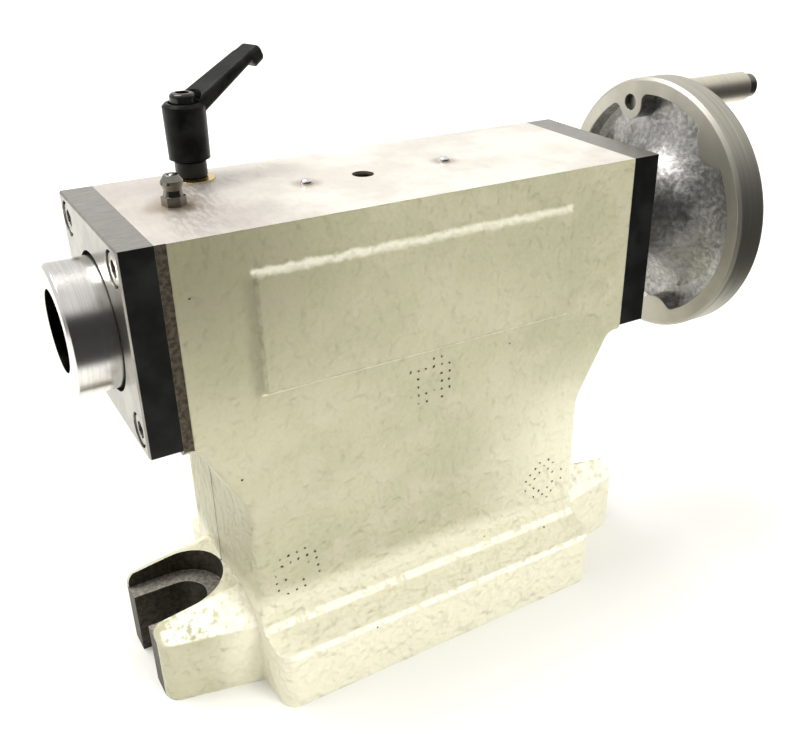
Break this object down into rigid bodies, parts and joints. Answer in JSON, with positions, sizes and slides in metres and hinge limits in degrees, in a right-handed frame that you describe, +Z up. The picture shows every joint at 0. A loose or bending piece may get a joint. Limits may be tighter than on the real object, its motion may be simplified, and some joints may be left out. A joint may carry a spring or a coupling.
{
  "type": "tailstock",
  "caption": "Manual tailstock with tapered-socket quill, dished handwheel and crank, clamp lever, and a slotted cast base.",
  "frame": {"origin": "centre of the base's bottom face, under the quill axis and midway between the clamping slots", "axes": "+X along the quill axis from the nose to the handwheel, +Y to the rear side, +Z up"},
  "size_m": [0.2824, 0.0944, 0.1923],
  "materials": {
    "cream_paint": "lumpy cast iron under greenish cream semi-gloss enamel, with ground grey top",
    "black_oxide_plate": "black oxide steel with ground faces",
    "black_screws": "black oxide alloy steel",
    "wiper_rubber": "matte nitrile rubber",
    "bronze": "turned bronze",
    "bearing_steel": "bright hardened steel",
    "ground_steel": "cylindrically ground steel",
    "cast_aluminium": "cast aluminium with polished rim",
    "grip_steel": "turned dull grey steel",
    "brass": "turned brass",
    "blackened_steel": "blackened steel",
    "lever_black": "satin black textured coating",
    "zinc_plate": "zinc plated steel"
  },
  "bodies": {
    "frame": {"body_casting": "cream_paint", "nose_plate": "black_oxide_plate", "nose_plate_screws": "black_screws", "quill_wiper": "wiper_rubber", "rear_plate": "black_oxide_plate", "rear_plate_screws": "black_screws", "rear_bush": "bronze", "thrust_washers": "bearing_steel", "thrust_bearing": "bearing_steel", "upper_lock_plug": "brass", "grease_nipple": "zinc_plate", "nipple_ball": "bearing_steel", "quill_key_screw": "blackened_steel", "dowel_pins": "bearing_steel"},
    "quill_group": {"quill": "ground_steel", "feed_nut": "bronze", "feed_nut_pin": "bearing_steel"},
    "wheel_group": {"feed_screw": "ground_steel", "handwheel": "cast_aluminium", "handwheel_key": "bearing_steel", "handwheel_washer": "bearing_steel", "handwheel_nut": "bearing_steel", "handle_spindle": "black_screws"},
    "grip": {"handle_grip": "grip_steel"},
    "stud_group": {"clamp_stud": "blackened_steel", "lever_screw": "blackened_steel"},
    "lever": {"clamp_lever": "lever_black", "lever_spring": "bearing_steel"},
    "lower_plug": {"lower_lock_plug": "brass"}
  },
  "joints": [
    {"name": "wheel_turn", "type": "hinge", "parent": "frame", "child": "wheel_group", "pos_m": [0.1, 0, 0.127], "axis": [1, 0, 0], "range_deg": [-666.1, 1984.3]},
    {"name": "quill_slide", "type": "slide", "parent": "frame", "child": "quill_group", "axis": [-1, 0, 0], "range_m": [-0.0095, 0.0284]},
    {"name": "grip_spin", "type": "hinge", "parent": "wheel_group", "child": "grip", "pos_m": [0.15, 0.01328, 0.16367], "axis": [1, 0, 0], "continuous": true},
    {"name": "clamp_turn", "type": "hinge", "parent": "frame", "child": "stud_group", "pos_m": [-0.051, 0.0242, 0.16], "axis": [0, 0, 1], "range_deg": [-30, 150]},
    {"name": "lower_plug_slide", "type": "slide", "parent": "frame", "child": "lower_plug", "axis": [0, 0, -1], "range_m": [-0.000066667, 0.00033333]},
    {"name": "lever_lift", "type": "slide", "parent": "stud_group", "child": "lever", "axis": [0, 0, 1], "range_m": [0, 0.003], "stiffness_N_per_m": 400, "springref_m": -0.002, "deforming": ["lever_spring"]}
  ],
  "couplings": [
    {"joint": "quill_slide", "follows": "wheel_turn", "m_per_rad": 0.00080851},
    {"joint": "clamp_turn", "follows": "lower_plug_slide", "rad_per_m": 7854}
  ]
}
